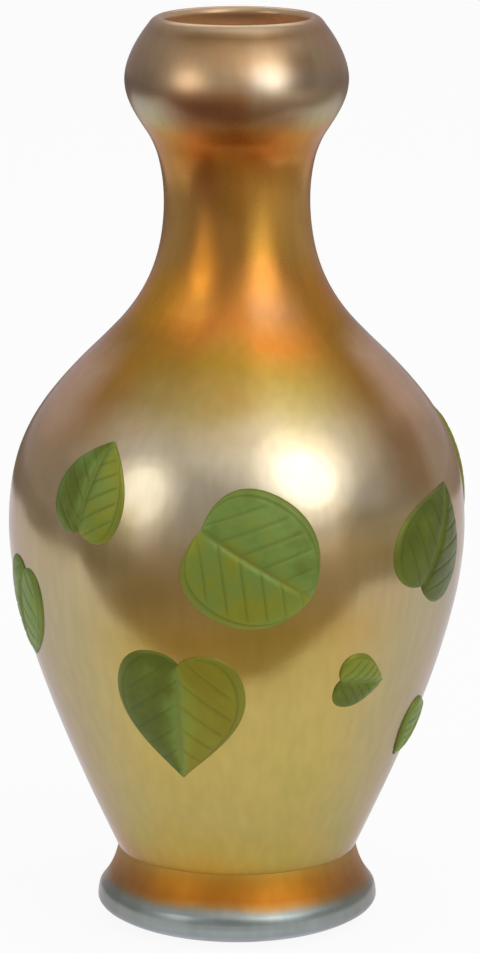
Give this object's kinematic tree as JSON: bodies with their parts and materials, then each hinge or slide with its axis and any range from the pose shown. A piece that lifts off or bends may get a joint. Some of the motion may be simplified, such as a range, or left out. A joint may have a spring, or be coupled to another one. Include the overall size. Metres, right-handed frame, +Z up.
{
  "type": "glass vase",
  "caption": "Footed baluster vase of gold lustre glass with a slim neck, a bulbed mouth and engraved green leaves stuck on its wall, for cut flowers or display.",
  "frame": {"origin": "centre of the flat ring that the foot stands on", "axes": "+Z up along the axis of the vase, front of the picture towards -Y, +X to its right"},
  "size_m": [0.1142, 0.1165, 0.2284],
  "materials": {
    "body_lustre": "opaque gold lustre glass, mirror bright, orange on the neck and mauve at the mouth",
    "foot_lustre": "opaque orange gold lustre glass, silver blue on the rim",
    "leaf_glass": "green glass, ground to a satin face with cut veins"
  },
  "bodies": {
    "root": {"vessel_body": "body_lustre", "foot": "foot_lustre", "leaf_front_centre": "leaf_glass", "leaf_front_left": "leaf_glass", "leaf_front_right": "leaf_glass", "leaf_lower_left": "leaf_glass", "leaf_small_right": "leaf_glass", "leaf_left_side": "leaf_glass", "leaf_right_side": "leaf_glass", "leaf_back_right_high": "leaf_glass", "leaf_back_right_low": "leaf_glass", "leaf_back_centre": "leaf_glass", "leaf_back_small": "leaf_glass", "leaf_back_left_high": "leaf_glass", "leaf_back_left_low": "leaf_glass"}
  },
  "joints": []
}
